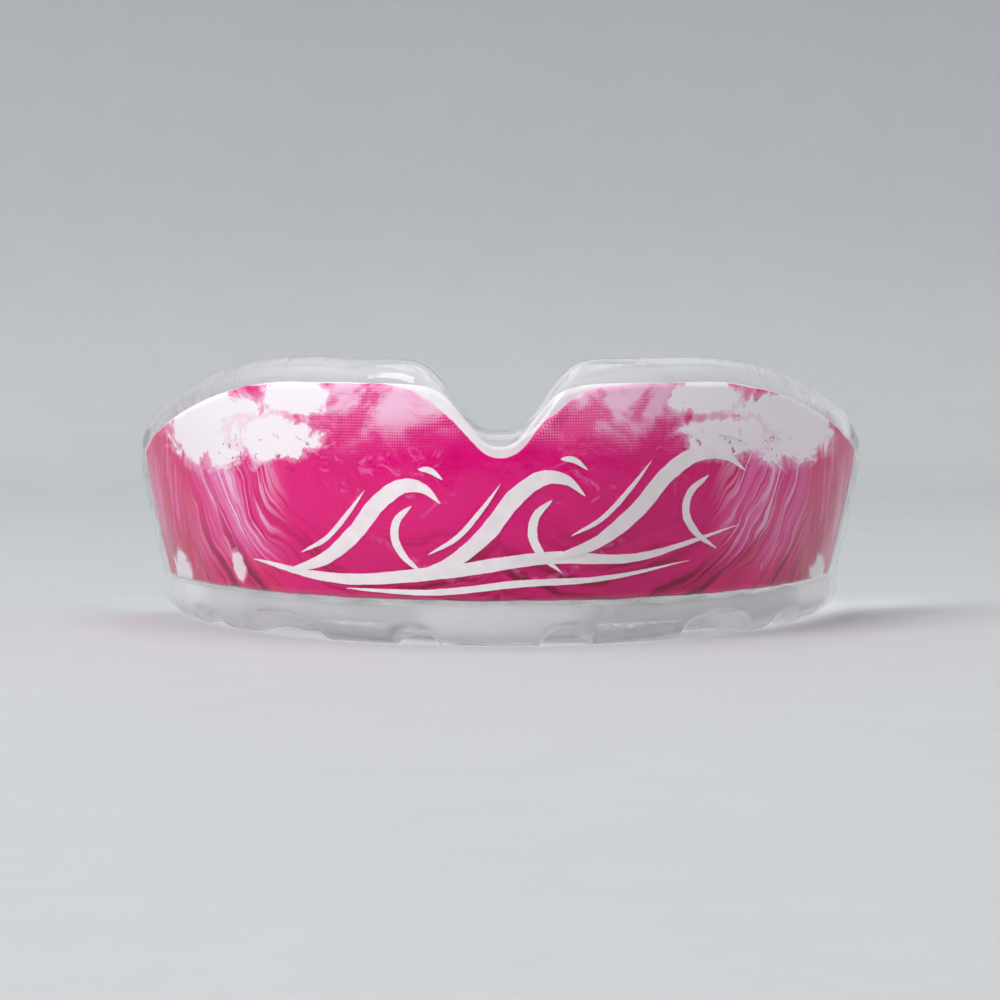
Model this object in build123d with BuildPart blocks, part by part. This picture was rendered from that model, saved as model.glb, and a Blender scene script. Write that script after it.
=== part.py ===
"""Custom-made sports mouthguard: clear EVA laminates around a printed film.

Frame: +Z up, the front of the guard faces -Y, and the guard stands on its biting face at
Z = 0.  The origin is the centre of the bounding box's bottom.  Millimetres.

The guard is a stack of bonded layers, so every layer is drawn from the same few
functions: how far a wall stands from the arch, and how high its rim is, at an arc length
measured along the arch from the midline.  Each layer is a solid trough, lofted through
sections that stand square to the arch, with a short filled block closing each back end.
"""

from math import cos, exp, hypot, pi, sin
import os

from build123d import *

# ---------------------------------------------------------------- driving dimensions, mm
ARCH_HALF_WIDTH = 31.8  # ellipse of the outer face at bite height, across
ARCH_DEPTH = 50.0  # the same ellipse, front to back
LEG_ARC = 60.0  # midline to the back end of a leg, along the arch

LOBE_HEIGHT = 24.0  # rim of the front wall beside the lip notch
NOTCH_DEPTH = 6.0  # how far the lip notch drops the rim
NOTCH_WIDTH = 5.0
BACK_DROP = 8.2  # how much lower the rim is at the back teeth
PALATE_HEIGHT_FRONT = 12.5
PALATE_HEIGHT_BACK = 10.0

SHELL_WALL = 1.9  # outer laminate on the lip and cheek side
SHELL_FLOOR = 1.8
SHELL_PALATE = 1.2
SHELL_END_WALL = 1.6
GUARD_WALL = 3.8  # outer laminate, film and inner laminate together
GUARD_FLOOR = 3.4
GUARD_PALATE = 2.4
GUARD_END_WALL = 3.2
BOND_GAP = 0.08  # modelling clearance between bonded layers

BASE_WIDTH_FRONT = 9.0  # biting face, lip side to palate side
BASE_WIDTH_BACK = 15.5
PALATE_LEAN_FRONT = 5.0  # how far the palate wall leans in over its height
PALATE_LEAN_BACK = 1.2
SIDE_FLARE = 2.0  # the cheek wall leans out by this at FLARE_HEIGHT
FLARE_HEIGHT = 14.0
FACE_BULGE = 0.7
FACE_DATUM = 4.0  # height at which the outer face lies on the ellipse

EDGE_ROUND = 1.6  # outer bottom edge
# rounding of the end walls: (share of the wall's thickness, how far the outline draws in)
END_ROUNDING = ((0.0, 0.0), (0.4, 0.08), (0.75, 0.35), (1.0, 0.95))
TROUGH_ROUND = 1.0  # between floor and walls, between the two laminates
CHANNEL_ROUND = 1.6  # between floor and walls of the tooth channel

FILM_ARC = 50.0  # midline to each end of the printed film
FILM_BOTTOM = 3.8
FILM_TOP = 21.7
FILM_NOTCH_DEPTH = 6.0
FILM_NOTCH_WIDTH = 5.1
WHITE_TOP = 21.9  # the white backing shows beyond the print around the lip notch
WHITE_NOTCH_DEPTH = 5.3
WHITE_NOTCH_WIDTH = 4.6
FILM_THICKNESS = 0.06
FILM_GAP = 0.05
FILM_STACK = 0.34  # room the films take between the laminates

# white wave motif, seen from the front: (start across, start height, length, lean)
WAVE_CRESTS = ((-18.4, 5.9, 10.4, 1.8), (-7.6, 5.9, 11.6, 1.8), (4.6, 7.4, 12.6, 1.2))
# strokes of one wave, as shares of its length and height: its back and crest, its hollow front
CREST_LINE = ((0.0, 0.0), (0.3, 0.09), (0.56, 0.27), (0.76, 0.48), (0.96, 0.6), (1.14, 0.59), (1.28, 0.49))
FRONT_LINE = ((1.04, 0.47), (0.92, 0.37), (0.9, 0.24), (0.98, 0.12), (1.12, 0.02))
CREST_STROKE = 1.5  # widest part of a stroke
FRONT_STROKE = 0.8
SWELL_LINE = ((-21.5, 6.6), (-14.0, 5.4), (-5.0, 6.2), (4.0, 7.4), (12.0, 7.3), (20.5, 9.6))
SWELL_STROKE = 1.1

# lower teeth that leave prints in the biting face: (width, cusp radius), midline outwards
LOWER_TEETH = (
    (5.3, 3.0),
    (6.0, 3.4),
    (6.9, 4.2),
    (7.1, 4.8),
    (7.3, 5.1),
    (11.2, 7.0),
    (10.7, 6.7),
)
PRINT_DEPTH = 0.7
BITE_LINE_FRONT = 4.0  # of the lower teeth, inwards from the outer face
BITE_LINE_BACK = 6.8
# arches in the lower outer edge: (arc length from the midline, width, height)
EDGE_ARCHES = ((-21.5, 7.0, 1.9), (-7.6, 4.2, 1.1), (6.0, 4.6, 1.3), (21.0, 6.8, 1.9))

SECTION_SPACING = 2.4


# ------------------------------------------------------------------- the arch and its walls
def smooth_step(value):
    """0 below 0, 1 above 1, and a smooth climb between."""
    value = min(max(value, 0.0), 1.0)
    return value * value * (3 - 2 * value)


def front_to_back(front, back, arc):
    """A dimension that changes smoothly from the front teeth to the back teeth."""
    return front + (back - front) * smooth_step((abs(arc) - 6) / 32)


def angle_at(arc):
    """Ellipse angle, in radians, at an arc length from the midline."""
    steps = 160
    angle = 0.0
    for _ in range(steps):
        angle += arc / steps / hypot(ARCH_HALF_WIDTH * cos(angle), ARCH_DEPTH * sin(angle))
    return angle


LEG_LENGTH = ARCH_DEPTH * (1 - cos(angle_at(LEG_ARC)))
FRONT_Y = (FACE_BULGE - LEG_LENGTH) / 2


def station(arc):
    """Plane across the arch: its X points outwards and its Y points up."""
    angle = angle_at(arc)
    spot = (ARCH_HALF_WIDTH * sin(angle), FRONT_Y + ARCH_DEPTH * (1 - cos(angle)), 0)
    along = Vector(ARCH_HALF_WIDTH * cos(angle), ARCH_DEPTH * sin(angle), 0).normalized()
    return Plane(origin=spot, x_dir=(along.Y, -along.X, 0), z_dir=-along)


def stations(end):
    """Evenly spaced arc lengths from one end to the other."""
    count = round(end / SECTION_SPACING)
    return [end * i / count for i in range(-count, count + 1)]


def notch(arc, depth, width, sharpness):
    return depth * exp(-((abs(arc) / width) ** sharpness))


def back_drop(arc):
    return BACK_DROP * smooth_step((abs(arc) - 20) / 42)


def rim_height(arc):
    """Top of the lip and cheek wall."""
    return LOBE_HEIGHT - notch(arc, NOTCH_DEPTH, NOTCH_WIDTH, 2.7) - back_drop(arc)


def palate_height(arc):
    return front_to_back(PALATE_HEIGHT_FRONT, PALATE_HEIGHT_BACK, arc)


def print_top(arc):
    return FILM_TOP - notch(arc, FILM_NOTCH_DEPTH, FILM_NOTCH_WIDTH, 2.1) - back_drop(arc)


def white_top(arc):
    return WHITE_TOP - notch(arc, WHITE_NOTCH_DEPTH, WHITE_NOTCH_WIDTH, 2.4) - back_drop(arc)


def outer_face(arc, height):
    """Outer face of the lip and cheek wall, outwards from the ellipse."""
    rise = max(height - FACE_DATUM, 0.0)
    flare = SIDE_FLARE * smooth_step((abs(arc) - 10) / 36) * rise / FLARE_HEIGHT
    return flare + FACE_BULGE * sin(pi * min(rise / 20.0, 1.0))


def palate_face(arc, height):
    """Tongue-side face of the palate wall, outwards from the ellipse."""
    base = front_to_back(BASE_WIDTH_FRONT, BASE_WIDTH_BACK, arc)
    lean = front_to_back(PALATE_LEAN_FRONT, PALATE_LEAN_BACK, arc)
    return -base - lean * height / PALATE_HEIGHT_FRONT


# ----------------------------------------------------------------------- section outlines
def climb(low, high, count=5):
    """Evenly spaced heights from low to high."""
    return [low + (high - low) * i / (count - 1) for i in range(count)]


def rounded_rim(face, top, radius):
    """Quarter-round from a rim's inner edge out to the wall's face, as three points.

    A negative radius puts the wall's inner edge on the other side of its face.
    """
    drop = abs(radius)
    return [
        (face(top) - radius, top),
        (face(top - 0.29 * drop) - 0.29 * radius, top - 0.29 * drop),
        (face(top - drop), top - drop),
    ]


def film_room(arc, height):
    """Room the films take in the bond line, at a height on the lip and cheek wall."""
    low = smooth_step((height - FILM_BOTTOM + 1.1) / 0.9)
    high = smooth_step((white_top(arc) + 1.1 - height) / 0.9)
    ends = smooth_step((FILM_ARC + 7.0 - abs(arc)) / 6.0)
    return FILM_STACK * low * high * ends


def trough(arc, floor, lip_points, palate, palate_inset, corner):
    """Points round the inside of a layer, from the palate rim to the lip rim."""
    back_wall = [(palate_face(arc, h) + palate_inset, h) for h in climb(palate, floor + corner)]
    back_foot, lip_foot = back_wall[-1][0], lip_points[0][0]
    flat = climb(back_foot + corner, lip_foot - corner, 6)
    turn = 0.29 * corner
    return [
        *back_wall,
        (back_foot + turn, floor + turn),
        *[(across, floor) for across in flat],
        (lip_foot - turn, floor + turn),
        *lip_points,
    ]


def shell_outline(arc, filled=False, inset=0.0):
    """Section of the outer laminate: an open trough, or filled for the end walls."""
    rim, palate = rim_height(arc) - inset, palate_height(arc) - inset
    below = -0.7  # trimmed flat afterwards

    def lip_face(height):
        return outer_face(arc, height) - inset

    def back_face(height):
        return palate_face(arc, height) + inset

    lip_side = rounded_rim(lip_face, rim, SHELL_WALL)
    lip_side += [(lip_face(h), h) for h in climb(3.0, rim - SHELL_WALL)[-2::-1]]
    lip_side += [(lip_face(0) - 0.35 * EDGE_ROUND, 0.9), (lip_face(0) - 1.5 * EDGE_ROUND, below)]
    back_side = rounded_rim(back_face, palate, -SHELL_PALATE)
    back_side += [(back_face(h), h) for h in climb(3.0, palate - SHELL_PALATE, 3)[-2::-1]]
    back_side += [(back_face(0) + 0.35 * EDGE_ROUND, 0.9), (back_face(0) + 1.5 * EDGE_ROUND, below)]
    low = SHELL_FLOOR + TROUGH_ROUND
    lip_wall = [(outer_face(arc, h) - SHELL_WALL, h) for h in climb(low, rim)]
    inside = trough(arc, SHELL_FLOOR, lip_wall, palate, SHELL_PALATE, TROUGH_ROUND)
    with BuildSketch(station(arc)) as section:
        with BuildLine():
            Spline(*lip_side)
            Line(lip_side[-1], back_side[-1])
            Spline(*back_side[::-1])
            if filled:
                Line(back_side[0], lip_side[0])
            else:
                Spline(*inside)
        make_face()
    return section.sketch


def liner_outline(arc, filled=False):
    """Section of the inner laminate, nested in the outer one around the films."""
    rim, palate = rim_height(arc), palate_height(arc)
    lip, back = SHELL_WALL + BOND_GAP, SHELL_PALATE + BOND_GAP
    lip_round, back_round = GUARD_WALL - lip, GUARD_PALATE - back
    under = SHELL_FLOOR + BOND_GAP
    film_middle = (FILM_BOTTOM + white_top(arc)) / 2
    heights = [under + TROUGH_ROUND, FILM_BOTTOM - 0.2, film_middle]
    heights += [white_top(arc) + 0.2, white_top(arc) + 1.1, rim]
    lip_wall = [(outer_face(arc, h) - lip - film_room(arc, h), h) for h in heights]
    outside = trough(arc, under, lip_wall, palate, back, TROUGH_ROUND)
    lip_top, back_top = outside[-1], outside[0]
    lip_edge = rim - lip_round
    back_edge = palate - back_round
    low = GUARD_FLOOR + CHANNEL_ROUND
    channel_lip = [(outer_face(arc, h) - GUARD_WALL, h) for h in climb(low, lip_edge)]
    channel = trough(arc, GUARD_FLOOR, channel_lip, back_edge, GUARD_PALATE, CHANNEL_ROUND)
    lip_turn = (lip_top[0] - 0.71 * lip_round, rim - 0.29 * lip_round)
    back_turn = (back_top[0] + 0.71 * back_round, palate - 0.29 * back_round)
    with BuildSketch(station(arc)) as section:
        with BuildLine():
            Spline(*outside)
            if filled:
                Line(lip_top, back_top)
            else:
                Spline(lip_top, lip_turn, channel[-1])
                Spline(*channel[::-1])
                Spline(channel[0], back_turn, back_top)
        make_face()
    return section.sketch


def film_outline(arc, top_of, layer):
    """Section of a film: a thin strip on the inside of the outer laminate."""
    near = SHELL_WALL + FILM_GAP + layer * (FILM_THICKNESS + FILM_GAP)
    far = near + FILM_THICKNESS
    heights = climb(FILM_BOTTOM, top_of(arc))
    with BuildSketch(station(arc)) as section:
        with BuildLine():
            front = Spline(*[(outer_face(arc, h) - near, h) for h in heights])
            back = Spline(*[(outer_face(arc, h) - far, h) for h in heights])
            Line(front @ 1, back @ 1)
            Line(back @ 0, front @ 0)
        make_face()
    return section.sketch


def brush_stroke(points, width):
    """Outline of a tapered stroke along points, widest in the middle, sharp at both tips."""
    last = len(points) - 1
    left, right = [points[0]], [points[0]]
    for i in range(1, last):
        before, after = Vector(points[i - 1]), Vector(points[i + 1])
        square = (after - before).normalized().rotate(Axis.Z, 90)
        half = square * width / 2 * sin(pi * i / last) ** 0.6
        left.append(Vector(points[i]) + half)
        right.append(Vector(points[i]) - half)
    with BuildLine() as outline:
        Spline(*left, points[last])
        Spline(*right, points[last])
    return outline.line


def wave_points(shares, across, height, length, lean):
    """A line of the wave motif, set out from the foot of its wave."""
    return [(across + length * x, height + (length + lean) * z) for x, z in shares]


# ------------------------------------------------------------------------ outer laminate
with BuildPart() as outer_shell:
    trough_end = LEG_ARC - SHELL_END_WALL
    loft(sections=[shell_outline(arc) for arc in stations(trough_end)])
    for side in (-1, 1):
        loft(
            sections=[
                shell_outline(side * (trough_end + share * SHELL_END_WALL), True, inset)
                for share, inset in END_ROUNDING
            ]
        )
    split(bisect_by=Plane.XY, keep=Keep.TOP)
    # prints of the lower teeth in the biting face, and arches in its outer edge
    for side in (-1, 1):
        near_edge = 0.0
        for width, radius in LOWER_TEETH:
            arc = near_edge + width / 2
            near_edge += width
            inwards = front_to_back(BITE_LINE_FRONT, BITE_LINE_BACK, arc)
            with Locations(station(side * arc) * Location((-inwards, PRINT_DEPTH - radius, 0))):
                Sphere(radius, mode=Mode.SUBTRACT)
    for arc, width, height in EDGE_ARCHES:
        radius = (width**2 / 4 + height**2) / (2 * height)
        with Locations(station(arc) * Location((0.3, height - radius, 0))):
            Sphere(radius, mode=Mode.SUBTRACT)

outer_shell.part.label = "outer_shell"

# ------------------------------------------------------------------------ inner laminate
with BuildPart() as inner_liner:
    channel_end = LEG_ARC - GUARD_END_WALL
    loft(sections=[liner_outline(arc) for arc in stations(channel_end)])
    liner_end = LEG_ARC - SHELL_END_WALL - BOND_GAP
    for side in (-1, 1):
        loft(sections=[liner_outline(side * arc, True) for arc in (channel_end, liner_end)])

inner_liner.part.label = "inner_liner"

# ---------------------------------------------------------------------- films in the bond
with BuildPart() as base_film:
    loft(sections=[film_outline(arc, white_top, 2) for arc in stations(FILM_ARC)])

base_film.part.label = "base_film"

with BuildPart() as print_film:
    loft(sections=[film_outline(arc, print_top, 1) for arc in stations(FILM_ARC - 0.6)])

print_film.part.label = "print_film"

# ------------------------------------------------------- white wave motif before the print
with BuildPart() as wave_motif:
    loft(sections=[film_outline(arc, print_top, 0) for arc in stations(28.0)])
    with BuildSketch(Plane.XZ) as strokes:
        for wave in WAVE_CRESTS:
            for shares, width in ((CREST_LINE, CREST_STROKE), (FRONT_LINE, FRONT_STROKE)):
                with BuildLine():
                    add(brush_stroke(wave_points(shares, *wave), width))
                make_face()
        with BuildLine():
            add(brush_stroke(SWELL_LINE, SWELL_STROKE))
        make_face()
    extrude(amount=40.0, both=True, mode=Mode.INTERSECT)

wave_motif.part.label = "wave_motif"

os.makedirs("parts", exist_ok=True)
for piece in (outer_shell, inner_liner, base_film, print_film, wave_motif):
    export_step(piece.part, f"parts/{piece.part.label}.step")
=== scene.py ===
"""Looks of the laminated sports mouthguard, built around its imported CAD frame.

Lengths in the shape functions are millimetres; meshes are stored in metres. Walls are described by
arc (distance along the dental arch from the midline), offset (outwards from the arch's ellipse)
and height above the biting face.
"""

import math

import bpy
import numpy as np
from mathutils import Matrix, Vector


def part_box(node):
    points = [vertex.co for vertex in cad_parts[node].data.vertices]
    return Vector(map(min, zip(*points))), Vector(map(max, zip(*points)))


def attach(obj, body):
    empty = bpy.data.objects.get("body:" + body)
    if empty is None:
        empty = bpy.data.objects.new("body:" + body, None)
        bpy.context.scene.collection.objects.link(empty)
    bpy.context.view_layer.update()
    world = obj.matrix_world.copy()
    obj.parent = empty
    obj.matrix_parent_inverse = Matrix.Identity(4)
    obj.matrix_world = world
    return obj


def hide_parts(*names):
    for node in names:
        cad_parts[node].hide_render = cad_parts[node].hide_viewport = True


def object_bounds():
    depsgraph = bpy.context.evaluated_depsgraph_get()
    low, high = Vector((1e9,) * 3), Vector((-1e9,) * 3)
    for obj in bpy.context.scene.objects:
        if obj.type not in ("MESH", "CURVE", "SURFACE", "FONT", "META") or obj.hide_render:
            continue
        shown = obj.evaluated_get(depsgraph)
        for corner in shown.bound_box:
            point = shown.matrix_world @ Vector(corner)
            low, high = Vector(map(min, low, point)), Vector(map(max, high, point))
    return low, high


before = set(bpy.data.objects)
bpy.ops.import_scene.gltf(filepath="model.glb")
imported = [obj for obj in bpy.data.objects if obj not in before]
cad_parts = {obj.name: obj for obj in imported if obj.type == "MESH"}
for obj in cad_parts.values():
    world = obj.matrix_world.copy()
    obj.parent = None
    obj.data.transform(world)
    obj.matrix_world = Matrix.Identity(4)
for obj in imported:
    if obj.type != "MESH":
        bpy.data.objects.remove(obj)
cad_low, cad_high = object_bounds()

MM = 0.001
PI = math.pi

# ------------------------------------------------------------------ the arch and its walls
ARCH_HALF_WIDTH = 31.8  # ellipse of the outer face, across
ARCH_DEPTH = 50.0
LEG_ARC = 60.0  # midline to the back end of a leg
LOBE_HEIGHT = 24.0
BACK_DROP = 8.2
PALATE_FRONT = 12.5  # height of the palate wall at the front teeth
PALATE_BACK = 10.0
BASE_WIDTH_FRONT = 9.0
BASE_WIDTH_BACK = 15.5
LEAN_FRONT = 5.0  # how far the palate wall leans in over PALATE_FRONT
LEAN_BACK = 1.2
SIDE_FLARE = 2.0  # how far the cheek wall leans out at FLARE_HEIGHT
FLARE_HEIGHT = 14.0
FACE_BULGE = 0.7
FACE_DATUM = 4.0
BULGE_HEIGHT = 20.0
SHELL_WALL = 1.9
SHELL_FLOOR = 1.8
SHELL_PALATE = 1.2
SHELL_END = 1.6
GUARD_WALL = 3.8
GUARD_FLOOR = 3.4
GUARD_PALATE = 2.4
GUARD_END = 3.2
EDGE_ROUND = 1.8
PALATE_EDGE_ROUND = 1.4
END_ROUND = 2.6
BOND_ROUND = 0.9  # between floor and walls, along the bond line
CHANNEL_ROUND = 1.5  # between floor and walls of the tooth channel
END_DIP = 4.2  # how far the end wall's top hangs below its rims
FILM_ARC = 50.0
FILM_BOTTOM = 3.8
BACKING_THICKNESS = 0.06
PRINT_THICKNESS = 0.05
PRINT_LIFT = 0.04  # front of the print before the front of the backing
PRINT_MARGIN = 0.4  # backing left beyond each end of the print
PRINT_TOP = 21.6
WHITE_TOP = 21.68
# tooth widths from the midline outwards
UPPER_TEETH = (8.6, 6.6, 7.6, 7.0, 6.7, 10.2, 9.6)
CROWN_HEIGHTS = (10.5, 9.2, 10.2, 8.8, 8.2, 7.6, 7.2)
LOWER_TEETH = (5.3, 6.0, 6.9, 7.1, 7.3, 11.2, 10.7)
LAST_FRONT_TOOTH = 2  # index of the canine
# arches in the lower outer edge: (middle, width, height)
EDGE_ARCHES = (
    (-22.5, 11.5, 2.3),
    (-7.6, 4.4, 1.25),
    (6.0, 4.8, 1.45),
    (22.0, 9.5, 2.3),
    (-35.5, 6.5, 0.8),
    (34.0, 6.0, 0.8),
)


def smooth_step(value):
    """0 below 0, 1 above 1, and a smooth climb between."""
    value = np.clip(value, 0.0, 1.0)
    return value * value * (3 - 2 * value)


def front_to_back(front, back, arc):
    """A dimension that changes smoothly from the front teeth to the back teeth."""
    return front + (back - front) * smooth_step((np.abs(arc) - 6) / 32)


def arc_lengths(angle):
    """Arc length from the midline to each of many closely spaced ellipse angles."""
    speed = np.hypot(ARCH_HALF_WIDTH * np.cos(angle), ARCH_DEPTH * np.sin(angle))
    run = np.concatenate([[0.0], np.cumsum((speed[1:] + speed[:-1]) / 2 * np.diff(angle))])
    return run - np.interp(0.0, angle, run)


WIDEST_ANGLE = 1.9
ANGLES = np.linspace(-WIDEST_ANGLE, WIDEST_ANGLE, 8001)
ARCS = arc_lengths(ANGLES)


def angle_at(arc):
    """Ellipse angle at an arc length from the midline."""
    return np.interp(arc, ARCS, ANGLES)


def arc_at_width(across):
    """Arc length at which the ellipse is this far from the midline."""
    ratio = np.clip(np.asarray(across, float) / ARCH_HALF_WIDTH, -0.999, 0.999)
    return np.interp(np.arcsin(ratio), ANGLES, ARCS)


FRONT_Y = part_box("outer_shell")[0].y / MM + FACE_BULGE


def place(arc, offset, height):
    """Points in metres from arc, offset and height, which broadcast together."""
    arc, offset, height = np.broadcast_arrays(arc, offset, height)
    angle = angle_at(arc)
    along_x = ARCH_HALF_WIDTH * np.cos(angle)
    along_y = ARCH_DEPTH * np.sin(angle)
    size = np.hypot(along_x, along_y)
    x = ARCH_HALF_WIDTH * np.sin(angle) + offset * along_y / size
    y = FRONT_Y + ARCH_DEPTH * (1 - np.cos(angle)) - offset * along_x / size
    return np.stack([x, y, height], axis=-1) * MM


def waver(arc, seed, scale=1.0):
    """Slow hand-trimmed unevenness along the arch, about -1 to 1."""
    rng = np.random.default_rng(seed)
    total = np.zeros_like(np.asarray(arc, float))
    for wavelength in (37.0, 21.0, 12.0, 7.5):
        phase = rng.uniform(0, 2 * PI)
        total = total + np.sin(2 * PI * arc / (wavelength * scale) + phase) * wavelength**0.5
    return total / 15.0


def notch(arc, depth, width, sharpness):
    """How far a lip notch drops an edge."""
    return depth * np.exp(-((np.abs(arc) / width) ** sharpness))


def back_drop(arc):
    """How much lower an edge is towards the back teeth."""
    return BACK_DROP * smooth_step((np.abs(arc) - 20) / 42)


def end_inset(arc):
    """How far the outline draws in where it rounds into the back end."""
    into = np.clip(np.abs(arc) - (LEG_ARC - END_ROUND), 0.0, END_ROUND)
    return END_ROUND - np.sqrt(END_ROUND**2 - into**2)


def rim_height(arc):
    top = LOBE_HEIGHT - 0.15 - notch(arc, 6.0, 5.0, 2.7) - back_drop(arc)
    return top + 0.14 * waver(arc, 3) - 0.8 * end_inset(arc)


def palate_height(arc):
    top = front_to_back(PALATE_FRONT, PALATE_BACK, arc)
    return top + 0.25 * waver(arc, 5) - 0.5 * end_inset(arc)


def print_top(arc):
    return PRINT_TOP - notch(arc, 6.0, 5.1, 2.1) - back_drop(arc) + 0.1 * waver(arc, 11, 0.4)


def white_top(arc):
    return WHITE_TOP - notch(arc, 5.3, 4.6, 2.4) - back_drop(arc)


def tooth_phase(arc, widths):
    """How far across its tooth an arc length is, -1 and 1 at the gaps, and the tooth's index."""
    edges = np.concatenate([[0.0], np.cumsum(widths)])
    place_in = np.clip(np.abs(arc), 0, edges[-1] - 1e-6)
    index = np.searchsorted(edges, place_in, side="right") - 1
    return 2 * (place_in - edges[index]) / np.asarray(widths)[index] - 1, index


def plain_face(arc, height):
    """Outer face of the lip and cheek wall without its small unevenness."""
    rise = np.maximum(height - FACE_DATUM, 0.0)
    flare = SIDE_FLARE * smooth_step((np.abs(arc) - 10) / 36) * rise / FLARE_HEIGHT
    return flare + FACE_BULGE * np.sin(PI * np.minimum(rise / BULGE_HEIGHT, 1.0))


def plain_palate(arc, height):
    """Tongue-side face of the palate wall without its small unevenness."""
    base = front_to_back(BASE_WIDTH_FRONT, BASE_WIDTH_BACK, arc)
    lean = front_to_back(LEAN_FRONT, LEAN_BACK, arc)
    return -base - lean * height / PALATE_FRONT


def outer_face(arc, height):
    """Outer face of the lip and cheek wall, with faint bulges over the teeth."""
    phase, _ = tooth_phase(arc, UPPER_TEETH)
    over_teeth = smooth_step((height - 3.5) / 4) * smooth_step((16 - height) / 7)
    teeth = 0.10 * (0.5 - phase**2) * over_teeth
    sway = 0.05 * waver(arc + 0.6 * height, 9, 0.7)
    return plain_face(arc, height) + teeth + sway - end_inset(arc)


def bond_face(arc, height):
    """Offset of the bond line in the lip and cheek wall."""
    return plain_face(arc, height) - SHELL_WALL


def palate_face(arc, height):
    """Tongue-side face of the palate wall, faintly shaped by the teeth behind it."""
    phase, _ = tooth_phase(arc, UPPER_TEETH)
    teeth = 0.15 * (0.4 - phase**2) * smooth_step(height / 5)
    return plain_palate(arc, height) - teeth + end_inset(arc)


def base_height(arc, offset):
    """Biting face: flat pads, arches in the lower outer edge and prints of the lower teeth."""
    lift = np.zeros(np.broadcast(arc, offset).shape)
    for middle, width, height in EDGE_ARCHES:
        across = np.clip(np.abs(arc - middle) / (width / 2), 0, 1)
        inwards = smooth_step(1 + (offset + 0.6) / 5.5)
        lift = np.maximum(lift, height * (1 - across**2.6) * inwards)
    phase, index = tooth_phase(arc, LOWER_TEETH)
    bite_line = -front_to_back(4.6, 7.6, arc)
    reach = front_to_back(2.4, 4.4, arc)
    inside = np.clip(1 - ((offset - bite_line) / reach) ** 2, 0, 1)
    prints = 0.9 * inside * np.clip(1 - phase**2, 0, 1) ** 0.8
    cusp = 0.35 * np.cos(PI * (offset - bite_line) / (0.55 * reach)) * (index > LAST_FRONT_TOOTH) * inside
    return np.maximum(lift, np.clip(prints - cusp * (1 - phase**2), 0, None)) + 0.5 * end_inset(arc)


def channel_lip_face(arc, height):
    """Inner face of the lip wall: tooth fronts, with the gum standing out above them."""
    phase, index = tooth_phase(arc, UPPER_TEETH)
    crown = np.array(CROWN_HEIGHTS)[index]
    gum_line = GUARD_FLOOR + crown - 3.2 * phase**2
    above = smooth_step((height - gum_line) / 1.1)
    tooth = 0.75 * (1 - phase**2) - 0.35
    gum = 0.55 + 0.1 * waver(arc, 21)
    near_rim = smooth_step((rim_height(arc) - 1.9 - height) / 2.5)
    shape = tooth * (1 - above) + gum * above
    return plain_face(arc, height) - GUARD_WALL + near_rim * shape


def channel_palate_face(arc, height):
    """Inner face of the palate wall, with the backs of the teeth pressed into it."""
    phase, _ = tooth_phase(arc, UPPER_TEETH)
    near_rim = smooth_step((palate_height(arc) - 1.2 - height) / 2.5)
    shape = 0.7 * (1 - phase**2) - 0.4
    return plain_palate(arc, height) + GUARD_PALATE - near_rim * shape


def channel_floor(arc, share):
    """Floor of the tooth channel; share runs from 0 at the palate wall to 1 at the lip wall."""
    phase, index = tooth_phase(arc, UPPER_TEETH)
    gap_ridge = 1.3 * np.clip(np.abs(phase) - 0.72, 0, 1) / 0.28
    molar = (index > LAST_FRONT_TOOTH) * 1.0
    across = np.cos(4 * PI * (share - 0.5))
    along = np.where(index > 4, np.cos(2 * PI * phase), 1 - phase**2)
    pits = molar * 0.55 * across * along * np.sin(PI * share) ** 0.5
    groove = (1 - molar) * 0.5 * np.exp(-(((share - 0.62) / 0.2) ** 2)) * (1 - phase**2)
    return GUARD_FLOOR + gap_ridge * np.sin(PI * np.clip(share, 0, 1)) + pits - groove


# ------------------------------------------------------------------------- mesh building
EVEN_ARC = 56.0  # section loops are evenly spaced up to here, and closer beyond
END_STEPS = (0.25, 0.5, 0.7, 0.85, 1.0, 1.15, 1.35, 1.6, 1.9, 2.15, 2.3)
END_STEPS += (2.4, 2.5, 2.7, 2.95, 3.2, 3.45, 3.65, 3.8, 3.9, 3.97, 4.0)


def arc_lines():
    """Arc lengths of the section loops: even along the arch, closer at the back ends."""
    even = np.linspace(-EVEN_ARC, EVEN_ARC, 321)
    tail = EVEN_ARC + np.array(END_STEPS)
    return np.concatenate([-tail[::-1], even, tail])


def as_mesh(name, points, faces, material_of_face, materials, attributes=None):
    """A mesh object from (vertices, quads or polygons)."""
    mesh = bpy.data.meshes.new(name)
    mesh.from_pydata(points.tolist(), [], faces)
    mesh.validate()
    for material in materials:
        mesh.materials.append(material)
    mesh.polygons.foreach_set("material_index", np.asarray(material_of_face, np.int32))
    mesh.polygons.foreach_set("use_smooth", np.ones(len(mesh.polygons), bool))
    for key, values in (attributes or {}).items():
        layer = mesh.attributes.new(key, "FLOAT_VECTOR", "POINT")
        layer.data.foreach_set("vector", np.asarray(values, np.float32).ravel())
    mesh.update()
    obj = bpy.data.objects.new(name, mesh)
    bpy.context.scene.collection.objects.link(obj)
    return obj


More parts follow.
